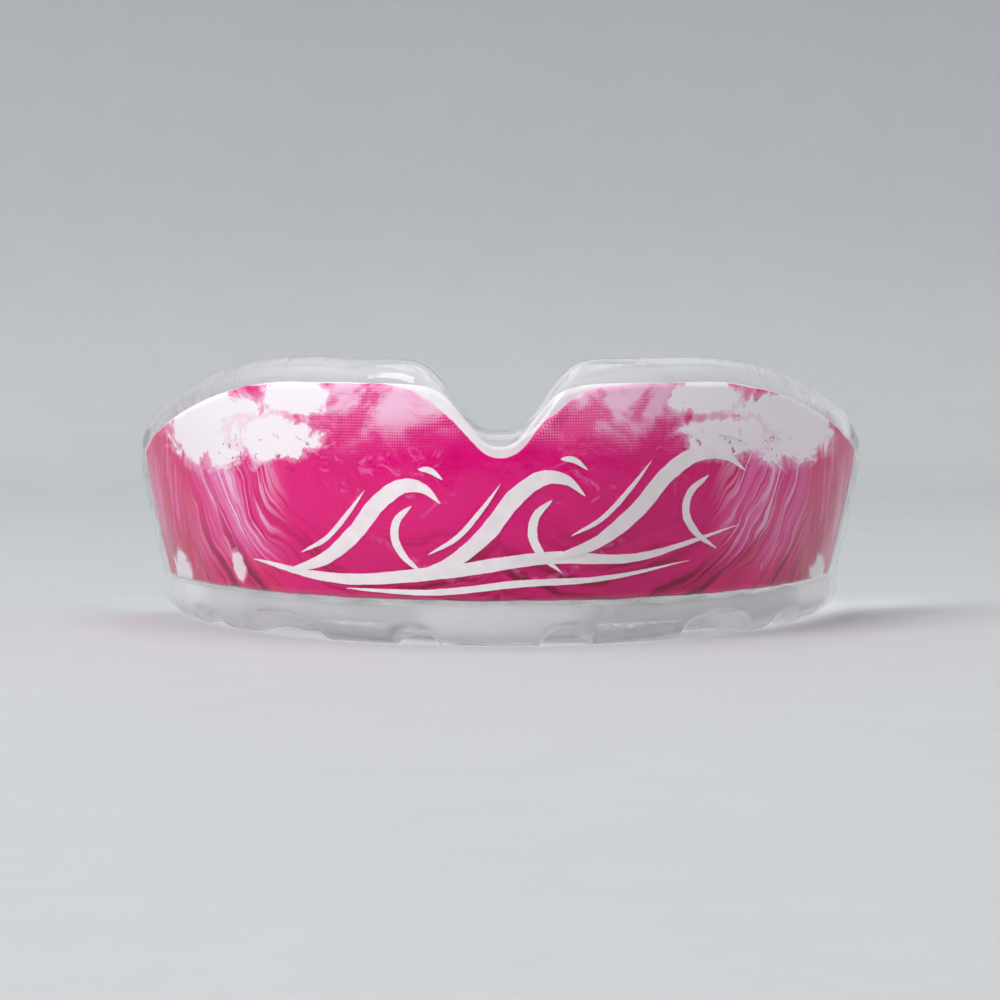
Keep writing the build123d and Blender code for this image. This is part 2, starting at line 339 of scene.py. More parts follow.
def tube(name, loops, bond_columns, bond_rows, materials, attributes=None):
    """Closed solid from section loops (rows, columns, 3) joined in order and capped at both ends.

    Faces in a bonded column and a bonded row take the second material.
    """
    rows, columns = loops.shape[:2]
    row = np.arange(rows - 1)[:, None]
    column = np.arange(columns)[None, :]
    after = (column + 1) % columns
    quads = np.stack(
        [
            row * columns + column,
            row * columns + after,
            (row + 1) * columns + after,
            (row + 1) * columns + column,
        ],
        axis=-1,
    ).reshape(-1, 4)
    bonded = bond_columns[None, :] & bond_rows[:, None]
    slots = bonded.astype(int).ravel().tolist()
    points = loops.reshape(-1, 3)
    tri = points[quads[:, [0, 1, 2]]]
    tri_b = points[quads[:, [0, 2, 3]]]
    volume = np.einsum("ij,ij->", tri[:, 0], np.cross(tri[:, 1], tri[:, 2]))
    volume += np.einsum("ij,ij->", tri_b[:, 0], np.cross(tri_b[:, 1], tri_b[:, 2]))
    first = list(range(columns))
    last = [(rows - 1) * columns + i for i in range(columns)]
    if volume < 0:
        quads = quads[:, ::-1]
        last = last[::-1]
    else:
        first = first[::-1]
    faces = quads.tolist() + [first, last]
    return as_mesh(name, points, faces, slots + [0, 0], materials, attributes)


def ramp(low, high, count):
    """count values from low to high, each of them an array over the arcs."""
    share = np.linspace(0, 1, count)[None, :]
    return low[:, None] * (1 - share) + high[:, None] * share


def outer_run(arc):
    """Exposed outline of the outer laminate, from the lip rim's crest round to the palate's."""
    a = arc[:, None]
    rim, palate = rim_height(arc), palate_height(arc)
    turn = np.linspace(PI / 2, 0, 12)[None, :]
    height = rim[:, None] - SHELL_WALL * (1 - np.sin(turn))
    parts = [(outer_face(a, height) - SHELL_WALL * (1 - np.cos(turn)), height)]
    foot = np.full_like(rim, EDGE_ROUND + 0.4)
    height = ramp(rim - SHELL_WALL, foot, 46)[:, 1:]
    parts.append((outer_face(a, height), height))
    turn = np.linspace(0, PI / 2, 10)[None, 1:]
    edge = outer_face(a, foot[:, None])
    offset = edge - EDGE_ROUND * (1 - np.cos(turn))
    floor = base_height(a, offset)
    parts.append((offset, floor + (foot[:, None] - floor) * (1 - np.sin(turn))))
    back_foot = np.full_like(rim, PALATE_EDGE_ROUND + 0.3)
    back_edge = palate_face(a, back_foot[:, None])[:, 0]
    offset = ramp(edge[:, 0] - EDGE_ROUND, back_edge + PALATE_EDGE_ROUND, 40)[:, 1:]
    parts.append((offset, base_height(a, offset)))
    turn = np.linspace(PI / 2, 0, 8)[None, 1:]
    offset = back_edge[:, None] + PALATE_EDGE_ROUND * (1 - np.cos(turn))
    floor = base_height(a, offset)
    parts.append((offset, floor + (back_foot[:, None] - floor) * (1 - np.sin(turn))))
    height = ramp(back_foot, palate - SHELL_PALATE, 20)[:, 1:]
    parts.append((palate_face(a, height), height))
    turn = np.linspace(0, PI / 2, 8)[None, 1:]
    height = palate[:, None] - SHELL_PALATE * (1 - np.sin(turn))
    parts.append((palate_face(a, height) + SHELL_PALATE * (1 - np.cos(turn)), height))
    return np.hstack([p[0] for p in parts]), np.hstack([p[1] for p in parts])


def bond_run(arc, inwards):
    """Bond line from the palate rim's crest, under the channel, up to the lip rim's crest."""
    a = arc[:, None]
    rim, palate = rim_height(arc), palate_height(arc)
    low = np.full_like(rim, SHELL_FLOOR + BOND_ROUND + inwards)

    def back(height):
        return plain_palate(a, height) + SHELL_PALATE + inwards

    height = ramp(palate, low, 14)
    parts = [(back(height), height)]
    start, end = back(low[:, None])[:, 0], (bond_face(a, low[:, None]) - inwards)[:, 0]
    turn = np.linspace(0, PI / 2, 5)[None, 1:]
    dip = low[:, None] - BOND_ROUND * np.sin(turn)
    parts.append((start[:, None] + BOND_ROUND * (1 - np.cos(turn)), dip))
    offset = ramp(start + BOND_ROUND, end - BOND_ROUND, 12)[:, 1:]
    parts.append((offset, np.broadcast_to((low - BOND_ROUND)[:, None], offset.shape)))
    turn = np.linspace(PI / 2, 0, 5)[None, 1:]
    dip = low[:, None] - BOND_ROUND * np.sin(turn)
    parts.append((end[:, None] - BOND_ROUND * (1 - np.cos(turn)), dip))
    height = ramp(low, rim, 30)[:, 1:]
    parts.append((bond_face(a, height) - inwards, height))
    return np.hstack([p[0] for p in parts]), np.hstack([p[1] for p in parts])


def channel_run(arc):
    """Exposed outline of the tooth channel, from the lip rim's crest to the palate rim's."""
    a = arc[:, None]
    rim, palate = rim_height(arc), palate_height(arc)
    lip_round = GUARD_WALL - SHELL_WALL
    back_round = GUARD_PALATE - SHELL_PALATE
    turn = np.linspace(PI / 2, 0, 10)[None, :]
    height = rim[:, None] - lip_round * (1 - np.sin(turn))
    crest = bond_face(a, height)
    parts = [(crest - lip_round * np.cos(turn), height)]
    low = np.full_like(rim, GUARD_FLOOR + CHANNEL_ROUND)
    height = ramp(rim - lip_round, low, 44)[:, 1:]
    parts.append((channel_lip_face(a, height), height))
    lip_foot = channel_lip_face(a, low[:, None])
    back_foot = channel_palate_face(a, low[:, None])
    share = np.linspace(1, 0, 34)[None, 1:-1]
    offset = back_foot + (lip_foot - back_foot) * share
    width = lip_foot - back_foot
    from_wall = np.minimum(share, 1 - share) * width
    into_corner = np.clip(CHANNEL_ROUND - from_wall, 0, CHANNEL_ROUND)
    rounding = CHANNEL_ROUND - np.sqrt(np.clip(CHANNEL_ROUND**2 - into_corner**2, 0, None))
    parts.append((offset, channel_floor(a, share) + rounding))
    height = ramp(low, palate - back_round, 20)
    parts.append((channel_palate_face(a, height), height))
    turn = np.linspace(0, PI / 2, 8)[None, 1:]
    height = palate[:, None] - back_round * (1 - np.sin(turn))
    back = plain_palate(a, height) + SHELL_PALATE
    parts.append((back + back_round * np.cos(turn), height))
    return np.hstack([p[0] for p in parts]), np.hstack([p[1] for p in parts])


def end_wall_top(arc, start, end, count):
    """Top of the end wall, from (offset, height) start to end, dipping between the rims."""
    share = np.linspace(0, 1, count)[None, :]
    offset = start[0][:, None] * (1 - share) + end[0][:, None] * share
    height = start[1][:, None] * (1 - share) + end[1][:, None] * share
    middle = LEG_ARC - GUARD_END / 2
    away = np.clip(np.abs(np.abs(arc) - middle) / (GUARD_END / 2), 0, 1)[:, None]
    dip = END_DIP * np.sin(PI * share) ** 0.8
    crown = 0.9 * (1 - np.sqrt(1 - np.clip(away, 0, 0.98) ** 2)) * np.sin(PI * share) ** 0.3
    return offset, height - dip - crown


def raise_ends(arc, run, begins, reach, rims=None):
    """Lifts a trough's outline onto the end wall's top, between its rims, beyond an arc length."""
    offset, height = run
    start, end = rims or ((offset[:, 0], height[:, 0]), (offset[:, -1], height[:, -1]))
    top = end_wall_top(arc, start, end, offset.shape[1])
    blend = smooth_step((np.abs(arc) - begins) / reach)[:, None]
    return offset + (top[0] - offset) * blend, height + (top[1] - height) * blend


def haze_of(arc, offset, height):
    """0 in front of the print, 1 in the base band, between the two on the rims and the back."""
    over_film = smooth_step((height - FILM_BOTTOM + 0.7) / 0.7)
    over_film = over_film * smooth_step((white_top(arc) + 1.0 - height) / 0.9)
    over_film = over_film * smooth_step((offset + 2.6) / 0.6)
    band = smooth_step((FILM_BOTTOM + 0.4 - height) / 1.0)
    haze = np.maximum(0.42 * (1 - over_film), band)
    return np.repeat(haze.reshape(-1, 1), 3, axis=1)


def shell_solid(name, materials):
    arc = arc_lines()
    out_offset, out_height = outer_run(arc)
    rims = [(out_offset[:, i], out_height[:, i]) for i in (-1, 0)]
    in_offset, in_height = raise_ends(arc, bond_run(arc, 0.0), LEG_ARC - SHELL_END - 0.1, 0.1, rims)
    offset = np.hstack([out_offset, in_offset[:, 1:-1]])
    height = np.hstack([out_height, in_height[:, 1:-1]])
    loops = place(arc[:, None], offset, height)
    bond_columns = np.arange(offset.shape[1]) >= out_offset.shape[1] - 1
    middle = (arc[1:] + arc[:-1]) / 2
    bond_rows = np.abs(middle) < LEG_ARC - SHELL_END
    coordinates = np.stack([np.broadcast_to(arc[:, None], offset.shape), offset, height], -1)
    attributes = {"layout": coordinates.reshape(-1, 3), "haze": haze_of(arc[:, None], offset, height)}
    return tube(name, loops, bond_columns, bond_rows, materials, attributes)


def liner_solid(name, materials):
    end = LEG_ARC - SHELL_END - 0.02
    arc = arc_lines()
    arc = np.concatenate([[-end], arc[np.abs(arc) < end - 0.03], [end]])
    run = channel_run(arc)
    in_offset, in_height = raise_ends(arc, run, LEG_ARC - GUARD_END - 0.4, 0.8)
    out_offset, out_height = bond_run(arc, 0.02)
    offset = np.hstack([in_offset, out_offset[:, 1:-1]])
    height = np.hstack([in_height, out_height[:, 1:-1]])
    loops = place(arc[:, None], offset, height)
    bond_columns = np.arange(offset.shape[1]) >= in_offset.shape[1] - 1
    coordinates = np.stack([np.broadcast_to(arc[:, None], offset.shape), offset, height], -1)
    obj = tube(
        name,
        loops,
        bond_columns,
        np.ones(len(arc) - 1, bool),
        materials,
        {"layout": coordinates.reshape(-1, 3), "haze": haze_of(arc[:, None], offset, height)},
    )
    caps = obj.data.polygons
    caps[len(caps) - 1].material_index = caps[len(caps) - 2].material_index = 1
    return obj


def film_solid(name, top_of, reach, lift, thickness, materials):
    """Thin closed film in the bond line; lift is how far its front stands out of the bond."""
    arc = np.linspace(-reach, reach, 260)
    a = arc[:, None]
    low = FILM_BOTTOM + 0.06 * waver(arc, 31, 0.3)
    height = ramp(low, top_of(arc), 44)
    front = bond_face(a, height) + lift
    offset = np.hstack([front, front[:, ::-1] - thickness])
    height = np.hstack([height, height[:, ::-1]])
    loops = place(a, offset, height)
    layout = np.stack([np.broadcast_to(a, offset.shape), height, offset], -1)
    columns = np.zeros(offset.shape[1], bool)
    return tube(
        name, loops, columns, np.ones(len(arc) - 1, bool), materials, {"art": layout.reshape(-1, 3)}
    )


def curve_through(points, count):
    """Smooth line through a few (across, height) points, as count samples."""
    p = np.asarray(points, float)
    p = np.vstack([2 * p[0] - p[1], p, 2 * p[-1] - p[-2]])
    t = np.linspace(0, len(points) - 1 - 1e-6, count)
    i = t.astype(int)
    f = (t - i)[:, None]
    a, b, c, d = p[i], p[i + 1], p[i + 2], p[i + 3]
    return 0.5 * (2 * b + (c - a) * f + (2 * a - 5 * b + 4 * c - d) * f**2 + (3 * b - a - 3 * c + d) * f**3)


def stroke_rows(points, width, seed, lift, thickness):
    """Section loops of a tapered brush stroke laid on the film."""
    line = curve_through(points, 90)
    line = np.column_stack([arc_at_width(line[:, 0]), line[:, 1]])
    t = np.linspace(0, 1, len(line))
    along = np.gradient(line, axis=0)
    along /= np.hypot(along[:, 0], along[:, 1])[:, None]
    square = np.column_stack([-along[:, 1], along[:, 0]])
    rough = 1 + 0.025 * np.sin(41 * t + seed) + 0.02 * np.sin(93 * t + 2 * seed)
    half = (width / 2 * np.sin(PI * np.clip(t, 0.004, 0.996) ** 0.85) ** 0.75 * rough)[:, None]
    left, right = line + square * half, line - square * half
    loops = []
    for edge, out in ((left, lift), (right, lift), (right, lift - thickness), (left, lift - thickness)):
        loops.append(place(edge[:, 0], bond_face(edge[:, 0], edge[:, 1]) + out, edge[:, 1]))
    return np.stack(loops, axis=1)


def joined(name, pieces):
    """One object from several."""
    bpy.ops.object.select_all(action="DESELECT")
    for piece in pieces:
        piece.select_set(True)
    bpy.context.view_layer.objects.active = pieces[0]
    bpy.ops.object.join()
    pieces[0].name = name
    pieces[0].data.name = name
    return pieces[0]


# ----------------------------------------------------------------------------- materials
class Nodes:
    """Short way to write a node tree."""

    def __init__(self, name):
        self.material = bpy.data.materials.new(name)
        self.material.use_nodes = True
        self.tree = self.material.node_tree
        self.tree.nodes.clear()

    def add(self, kind, inputs=None, **settings):
        made = self.tree.nodes.new(kind)
        for key, value in settings.items():
            setattr(made, key, value)
        for key, value in (inputs or {}).items():
            self.feed(made.inputs[key], value)
        return made

    def feed(self, socket, value):
        if isinstance(value, bpy.types.NodeSocket):
            self.tree.links.new(value, socket)
        elif hasattr(socket.default_value, "__len__") and len(socket.default_value) == 4:
            socket.default_value = (*value, 1.0)[:4]
        else:
            socket.default_value = value

    def math(self, operation, *values, clamp=False):
        made = self.add("ShaderNodeMath", operation=operation, use_clamp=clamp)
        for socket, value in zip(made.inputs, values):
            self.feed(socket, value)
        return made.outputs[0]

    def times(self, *values):
        product = values[0]
        for value in values[1:]:
            product = self.math("MULTIPLY", product, value)
        return product

    def plus(self, *values):
        total = values[0]
        for value in values[1:]:
            total = self.math("ADD", total, value)
        return total

    def minus(self, a, b):
        return self.math("SUBTRACT", a, b)

    def distance(self, x, y):
        return self.math("SQRT", self.plus(self.times(x, x), self.times(y, y)))

    def band(self, value, low, high, to_low=0.0, to_high=1.0):
        """Smooth climb from to_low at low to to_high at high; low may be above high."""
        inputs = {"Value": value, "From Min": low, "From Max": high, "To Min": to_low, "To Max": to_high}
        made = self.add("ShaderNodeMapRange", inputs, interpolation_type="SMOOTHSTEP", clamp=True)
        return made.outputs[0]

    def zone(self, *bands):
        """Product of bands, each given as (value, low, high)."""
        return self.times(*[self.band(*limits) for limits in bands])

    def mix(self, factor, a, b):
        made = self.add("ShaderNodeMix", data_type="RGBA")
        self.feed(made.inputs[0], factor)
        self.feed(made.inputs[6], a)
        self.feed(made.inputs[7], b)
        return made.outputs[2]

    def vector(self, x, y, z=0.0):
        made = self.add("ShaderNodeCombineXYZ")
        for socket, value in zip(made.inputs, (x, y, z)):
            self.feed(socket, value)
        return made.outputs[0]

    def noise(self, vector, scale, detail=2.0, roughness=0.5, distortion=0.0):
        inputs = {"Vector": vector, "Scale": scale, "Detail": detail, "Roughness": roughness}
        inputs["Distortion"] = distortion
        return self.add("ShaderNodeTexNoise", inputs).outputs["Fac"]

    def attribute(self, name):
        made = self.add("ShaderNodeAttribute", attribute_name=name)
        split = self.add("ShaderNodeSeparateXYZ", {"Vector": made.outputs["Vector"]})
        return made.outputs["Vector"], split.outputs[0], split.outputs[1], split.outputs[2]

    def bump(self, height, strength, distance):
        made = self.add("ShaderNodeBump", {"Height": height, "Strength": strength, "Distance": distance})
        return made.outputs[0]

    def end(self, shader):
        out = self.add("ShaderNodeOutputMaterial")
        self.tree.links.new(shader, out.inputs["Surface"])
        return self.material


CLEAR_IOR = 1.42
SHADOW_TINT = (0.93, 0.93, 0.94)
GRAIN_DEPTH = 0.0004  # metres


def eva(name, tint, roughness, milk, grain, grain_scale):
    """Clear EVA: clear over the print, milkier elsewhere, and lamps reach what it covers."""
    n = Nodes(name)
    layout, _, _, _ = n.attribute("layout")
    haze = n.attribute("haze")[1]
    fine = n.noise(layout, grain_scale, 3.0, 0.6)
    slow = n.noise(layout, 0.35, 2.0, 0.5)
    height = n.plus(n.times(fine, 0.25), slow)
    rough = n.plus(n.times(slow, 0.06), roughness - 0.03)
    body = n.add(
        "ShaderNodeBsdfPrincipled",
        {
            "Base Color": tint,
            "Roughness": rough,
            "IOR": CLEAR_IOR,
            "Transmission Weight": n.minus(1.0, n.times(haze, milk)),
            "Normal": n.bump(height, grain, GRAIN_DEPTH),
        },
    )
    through = n.add("ShaderNodeBsdfTransparent", {"Color": SHADOW_TINT})
    path = n.add("ShaderNodeLightPath")
    mix = n.add("ShaderNodeMixShader", {0: path.outputs["Is Shadow Ray"]})
    n.tree.links.new(body.outputs[0], mix.inputs[1])
    n.tree.links.new(through.outputs[0], mix.inputs[2])
    return n.end(mix.outputs[0])


def bond():
    """Inside of the bonded stack, where two laminates are one piece and nothing is seen."""
    n = Nodes("bond")
    return n.end(n.add("ShaderNodeBsdfTransparent", {"Color": (1, 1, 1)}).outputs[0])


MAGENTA = (0.75, 0.0, 0.195)
CRIMSON = (0.25, 0.0, 0.035)
RED = (0.62, 0.012, 0.075)
PINK = (0.82, 0.15, 0.43)
PALE_PINK = (0.88, 0.56, 0.73)
FOAM = (0.93, 0.91, 0.93)
INK_IOR = 1.05  # the ink lies inside the clear stack, so it hardly reflects
BARREL_OUT = 9.5  # middle of the curved streaks on each side, mm out and up
BARREL_UP = 18.0
SCREEN_PITCH = 13.0  # printing dots, radians per mm
# white masses of foam: (middle out, middle up, half width, half height, tilt)
FOAM_MASSES = (
    (31.0, 17.7, 9.6, 3.1, -0.03),
    (22.8, 17.0, 5.4, 1.7, 0.02),
    (20.2, 20.6, 4.2, 1.4, 0.02),
    (43.5, 4.5, 2.8, 1.5, -0.15),
)
LONE_DROP = (29.0, 5.9, 1.0, 1.3, 0.0)


class Artwork(Nodes):
    """Node tree of the printed wave, in mm: along the film, out from its middle, and up."""

    def __init__(self, name):
        super().__init__(name)
        self.art, self.along, self.up, _ = self.attribute("art")
        self.out = self.math("ABSOLUTE", self.along)
        side = self.math("SIGN", self.along)
        dx = self.times(self.minus(self.out, BARREL_OUT), 0.80)
        dy = self.minus(self.up, BARREL_UP)
        wander = self.times(self.minus(self.noise(self.art, 0.16, 2.0), 0.5), 3.2)
        self.ring = self.plus(self.distance(dx, dy), wander)
        self.turn = self.math("ARCTAN2", dy, dx)
        fine = self.noise(self.vector(self.ring, self.times(self.turn, 0.7), side), 1.9, 4.0, 0.60)
        broad = self.noise(self.vector(self.ring, self.times(self.turn, 0.9), side), 0.62, 3.0, 0.55)
        self.streak = self.plus(self.times(fine, 0.50), self.times(broad, 0.50))
        torn = self.noise(self.vector(self.along, self.times(self.up, 1.35), 3.0), 0.30, 8.0, 0.66, 0.7)
        self.torn = self.plus(self.times(self.minus(torn, 0.5), 2.3), 0.5)

    def trough(self):
        """Magenta, with crimson and red gathered at the bottom."""
        low = self.band(self.up, 11.0, 4.0)
        middle = self.band(self.out, 26.0, 8.0)
        dark = self.plus(self.band(self.streak, 0.54, 0.40), self.times(middle, 0.30))
        deep = self.math("MULTIPLY", dark, self.plus(self.times(low, 0.95), 0.10), clamp=True)
        colour = self.mix(deep, MAGENTA, CRIMSON)
        patches = self.noise(self.vector(self.ring, self.turn, 5.0), 0.8, 3.0)
        warm = self.times(self.band(patches, 0.50, 0.60), low, 0.55)
        return self.mix(warm, colour, RED)

    def face_streaks(self, colour):
        """Light streaks on the face of the wave, strongest towards the cheeks."""
        out, up = self.out, self.up
        face = self.zone((out, 20.0, 26.0), (up, 18.5, 15.5), (out, 38.0, 31.0), (up, 5.0, 9.5))
        amount = self.plus(face, 0.03)
        glow = self.math("MULTIPLY", self.band(self.streak, 0.44, 0.58), amount, clamp=True)
        colour = self.mix(glow, colour, PINK)
        lines = self.noise(self.vector(self.ring, self.times(self.turn, 0.5), 2.0), 2.6, 3.0, 0.55)
        lines = self.times(self.band(lines, 0.50, 0.62), face)
        return self.mix(self.times(lines, 0.9), colour, PALE_PINK)

    def far_ends(self, colour):
        """Red and pink bands that stand nearly upright at the far ends."""
        ends = self.band(self.out, 35.0, 40.0)
        across = self.plus(self.out, self.times(self.up, 0.25))
        upright = self.noise(self.vector(across, self.times(self.up, 0.18), 8.0), 0.75, 4.0, 0.60)
        colour = self.mix(self.times(ends, self.band(upright, 0.54, 0.44), 0.75), colour, RED)
        return self.mix(self.times(ends, self.band(upright, 0.52, 0.64), 0.80), colour, PINK)

    def spray_curls(self, colour):
        """Small curls of spray in the middle of each side."""
        out, up = self.out, self.up
        curls = self.noise(self.vector(self.times(self.along, 0.8), up, 7.0), 0.55, 6.0, 0.62, 1.6)
        zone = self.zone((out, 20.0, 14.0), (out, 2.0, 7.0), (up, 10.0, 12.5), (up, 18.5, 15.5))
        return self.mix(self.times(self.band(curls, 0.55, 0.70), zone, 0.75), colour, PINK)

    def sweep_line(self, colour):
        """Thin bright line that sweeps down each side and meets in a small peak."""
        out = self.out
        climb = self.times(self.band(out, 3.5, 12.5), 3.4)
        peak = self.times(self.band(out, 3.2, 0.0), 1.5)
        off_line = self.math("ABSOLUTE", self.minus(self.up, self.plus(5.6, climb, peak)))
        line = self.zone((off_line, 0.55, 0.0), (out, 12.5, 9.5))
        broken = self.band(self.noise(self.art, 1.4, 4.0), 0.38, 0.62)
        return self.mix(self.times(line, broken, 0.62), colour, PINK)

    def sky(self, colour):
        """Pale sky between the crest and the rim, printed as fine dots."""
        out, up, along = self.out, self.up, self.along
        sky = self.zone((self.plus(up, self.times(out, 0.10)), 15.8, 21.5), (out, 24.0, 12.0))
        clouds = self.noise(self.vector(self.times(along, 0.7), up, 3.0), 0.30, 5.0, 0.60, 0.5)
        tone = self.times(sky, self.plus(self.times(self.band(clouds, 0.38, 0.62), 0.9), 0.42))
        rising = self.math("SINE", self.times(self.plus(along, up), SCREEN_PITCH))
        falling = self.math("SINE", self.times(self.minus(along, up), SCREEN_PITCH))
        screen = self.plus(self.times(rising, falling, 0.5), 0.5)
        dots = self.band(self.minus(tone, screen), -0.30, 0.20)
        colour = self.mix(self.times(tone, 0.62), colour, PINK)
        colour = self.mix(self.times(dots, tone, 0.80), colour, PALE_PINK)
        high = self.zone((out, 28.0, 22.0), (out, 10.0, 16.0), (up, 17.6, 20.4))
        return self.mix(self.times(high, self.band(clouds, 0.36, 0.60), 0.75), colour, PALE_PINK)

    def mass(self, middle_out, middle_up, half_out, half_up, tilt):
        """Above 0 inside a torn-edged oval."""
        across = self.minus(self.out, middle_out)
        rise = self.minus(self.minus(self.up, middle_up), self.times(across, tilt))
        reach = self.distance(
            self.math("DIVIDE", across, half_out), self.math("DIVIDE", rise, half_up)
        )
        return self.plus(self.minus(1.0, reach), self.times(self.minus(self.torn, 0.5), 0.85))

    def foam(self, amount, colour, strength=1.0):
        """Lays foam, with pink mist round it, where amount is above 0."""
        mist = self.times(self.band(amount, -0.30, 0.02), 0.55 * strength)
        colour = self.mix(mist, colour, PALE_PINK)
        return self.mix(self.times(self.band(amount, -0.03, 0.12), strength), colour, FOAM)

    def flecks(self, colour):
        """Dark flecks where the foam breaks up."""
        out, up = self.out, self.up
        spots = self.noise(self.vector(self.along, up, 21.0), 1.5, 5.0, 0.6)
        zone = self.zone((out, 15.0, 20.0), (out, 33.0, 28.0), (up, 13.0, 15.0), (up, 18.0, 16.5))
        return self.mix(self.times(self.band(spots, 0.60, 0.66), zone, 0.75), colour, CRIMSON)


def print_art():
    """Magenta breaking-wave artwork: curved streaks, foam, a dotted sky and a dark trough."""
    n = Artwork("print_art")
    colour = n.trough()
    colour = n.face_streaks(colour)
    colour = n.far_ends(colour)
    colour = n.spray_curls(colour)
    colour = n.sweep_line(colour)
    colour = n.sky(colour)
    for mass in FOAM_MASSES:
        colour = n.foam(n.mass(*mass), colour)
    on_one_side = n.minus(n.mass(*LONE_DROP), n.band(n.along, -1.0, 1.0))
    colour = n.foam(on_one_side, colour, 0.8)
    colour = n.flecks(colour)
    rough = n.plus(n.times(n.noise(n.art, 2.4, 3.0), 0.12), 0.42)
    body = n.add("ShaderNodeBsdfPrincipled", {"Base Color": colour, "Roughness": rough, "IOR": INK_IOR})
    return n.end(body.outputs[0])


def white_ink(name, colour):
    """White printing ink, very slightly mottled."""
    n = Nodes(name)
    where = n.add("ShaderNodeTexCoord").outputs["Object"]
    mottle = n.noise(where, 900.0, 3.0)
    shade = n.mix(n.band(mottle, 0.3, 0.7), tuple(0.93 * c for c in colour), colour)
    body = n.add("ShaderNodeBsdfPrincipled", {"Base Color": shade, "Roughness": 0.5, "IOR": INK_IOR})
    return n.end(body.outputs[0])


STONE_FLOOR = (0.555, 0.565, 0.58)
STONE_WALL = (0.455, 0.475, 0.495)
STONE_DARK = (0.36, 0.37, 0.38)


def studio(name):
    """Plain pale stone floor that turns up into a greyer wall."""
    n = Nodes(name)
    where = n.add("ShaderNodeTexCoord").outputs["Object"]
    split = n.add("ShaderNodeSeparateXYZ", {"Vector": where})
    wall = n.band(split.outputs[2], 0.0, 0.05)
    colour = n.mix(wall, STONE_FLOOR, STONE_WALL)
    coarse, fine = n.noise(where, 9.0, 5.0, 0.6), n.noise(where, 120.0, 4.0, 0.7)
    mottle = n.plus(n.times(coarse, 0.5), n.times(fine, 0.5))
    colour = n.mix(n.band(mottle, 0.35, 0.62, 0.10, 0.0), colour, STONE_DARK)
    bump = n.bump(n.noise(where, 700.0, 3.0), 0.15, 0.0003)
    body = n.add("ShaderNodeBsdfPrincipled", {"Base Color": colour, "Roughness": 0.75, "Normal": bump})
    return n.end(body.outputs[0])


# ------------------------------------------------------------------------------- pieces
shell_eva = eva("outer_eva_clear", (0.94, 0.935, 0.95), 0.09, 0.50, 0.15, 1.6)
liner_eva = eva("inner_eva_satin", (0.96, 0.96, 0.97), 0.2, 0.5, 0.3, 3.0)
bonded = bond()
white_film = white_ink("white_underprint", (0.88, 0.88, 0.89))
motif_ink = white_ink("white_motif_ink", (0.93, 0.93, 0.93))
magenta_film = print_art()

shell = shell_solid("shell_body", [shell_eva, bonded])
liner = liner_solid("liner_body", [liner_eva, bonded])
backing = film_solid("white_backing", white_top, FILM_ARC, 0.0, BACKING_THICKNESS, [white_film])
artwork = film_solid(
    "wave_print", print_top, FILM_ARC - PRINT_MARGIN, PRINT_LIFT, PRINT_THICKNESS, [magenta_film]
)

# strokes of one wave, as shares of its length and height, each with its width
WAVE_STROKES = (
    (((0.0, 0.0), (0.3, 0.09), (0.56, 0.27), (0.76, 0.48), (0.96, 0.60), (1.14, 0.59), (1.28, 0.49)), 1.5),
    (((1.04, 0.47), (0.92, 0.37), (0.90, 0.24), (0.98, 0.12), (1.12, 0.02)), 0.8),
    (((0.12, 0.13), (0.34, 0.24), (0.52, 0.41), (0.66, 0.57)), 0.45),
    (((1.10, 0.72), (1.20, 0.71), (1.30, 0.65)), 0.5),
)
# waves seen from the front: (start across, start height, length, lean)
WAVES = ((-18.4, 5.9, 10.4, 1.8), (-7.6, 5.9, 11.6, 1.8), (4.6, 7.4, 12.6, 1.2))
# the water line under the waves and a thinner one below it, each with its width
WATER_LINES = (
    (((-21.5, 6.6), (-14.0, 5.4), (-5.0, 6.2), (4.0, 7.4), (12.0, 7.3), (20.5, 9.6)), 1.1),
    (((-13.5, 4.6), (-6.0, 4.5), (2.0, 5.3), (9.0, 5.6), (16.5, 6.8)), 0.6),
)
MOTIF_LIFT = 0.09  # front of the strokes before the bond line
MOTIF_STEP = 0.004  # each stroke stands this much before the last, so that none share a face
MOTIF_THICKNESS = 0.06


def wave_motif():
    """White brush strokes of three breaking waves, laid on the film."""
    strokes = list(WATER_LINES)
    for across, height, length, lean in WAVES:
        tall = length + lean
        for shape, width in WAVE_STROKES:
            points = [(across + length * x, height + tall * z) for x, z in shape]
            strokes.append((points, width))
    parts = []
    for number, (points, width) in enumerate(strokes):
        lift = MOTIF_LIFT + MOTIF_STEP * number
        loops = stroke_rows(points, width, number, lift, MOTIF_THICKNESS)
        no_bond = np.zeros(loops.shape[1], bool)
        every_row = np.ones(len(loops) - 1, bool)
        parts.append(tube(f"stroke_{number}", loops, no_bond, every_row, [motif_ink]))
    whole = joined("white_wave_strokes", parts)
    faces = whole.data.polygons
    faces.foreach_set("use_smooth", np.zeros(len(faces), bool))
    return whole


motif = wave_motif()

for piece, node, slot in (
    (shell, "outer_shell", "outer_eva"),
    (liner, "inner_liner", "inner_eva"),
    (backing, "base_film", "white_film"),
    (artwork, "print_film", "printed_film"),
    (motif, "wave_motif", "white_ink"),
):
    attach(piece, "root")
    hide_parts(node)

# -------------------------------------------------------------------------------- stage
# metres
COVE_FRONT = -0.9
COVE_BACK = 0.215
COVE_RADIUS = 0.09
COVE_TOP = 0.9
COVE_HALF_WIDTH = 1.2


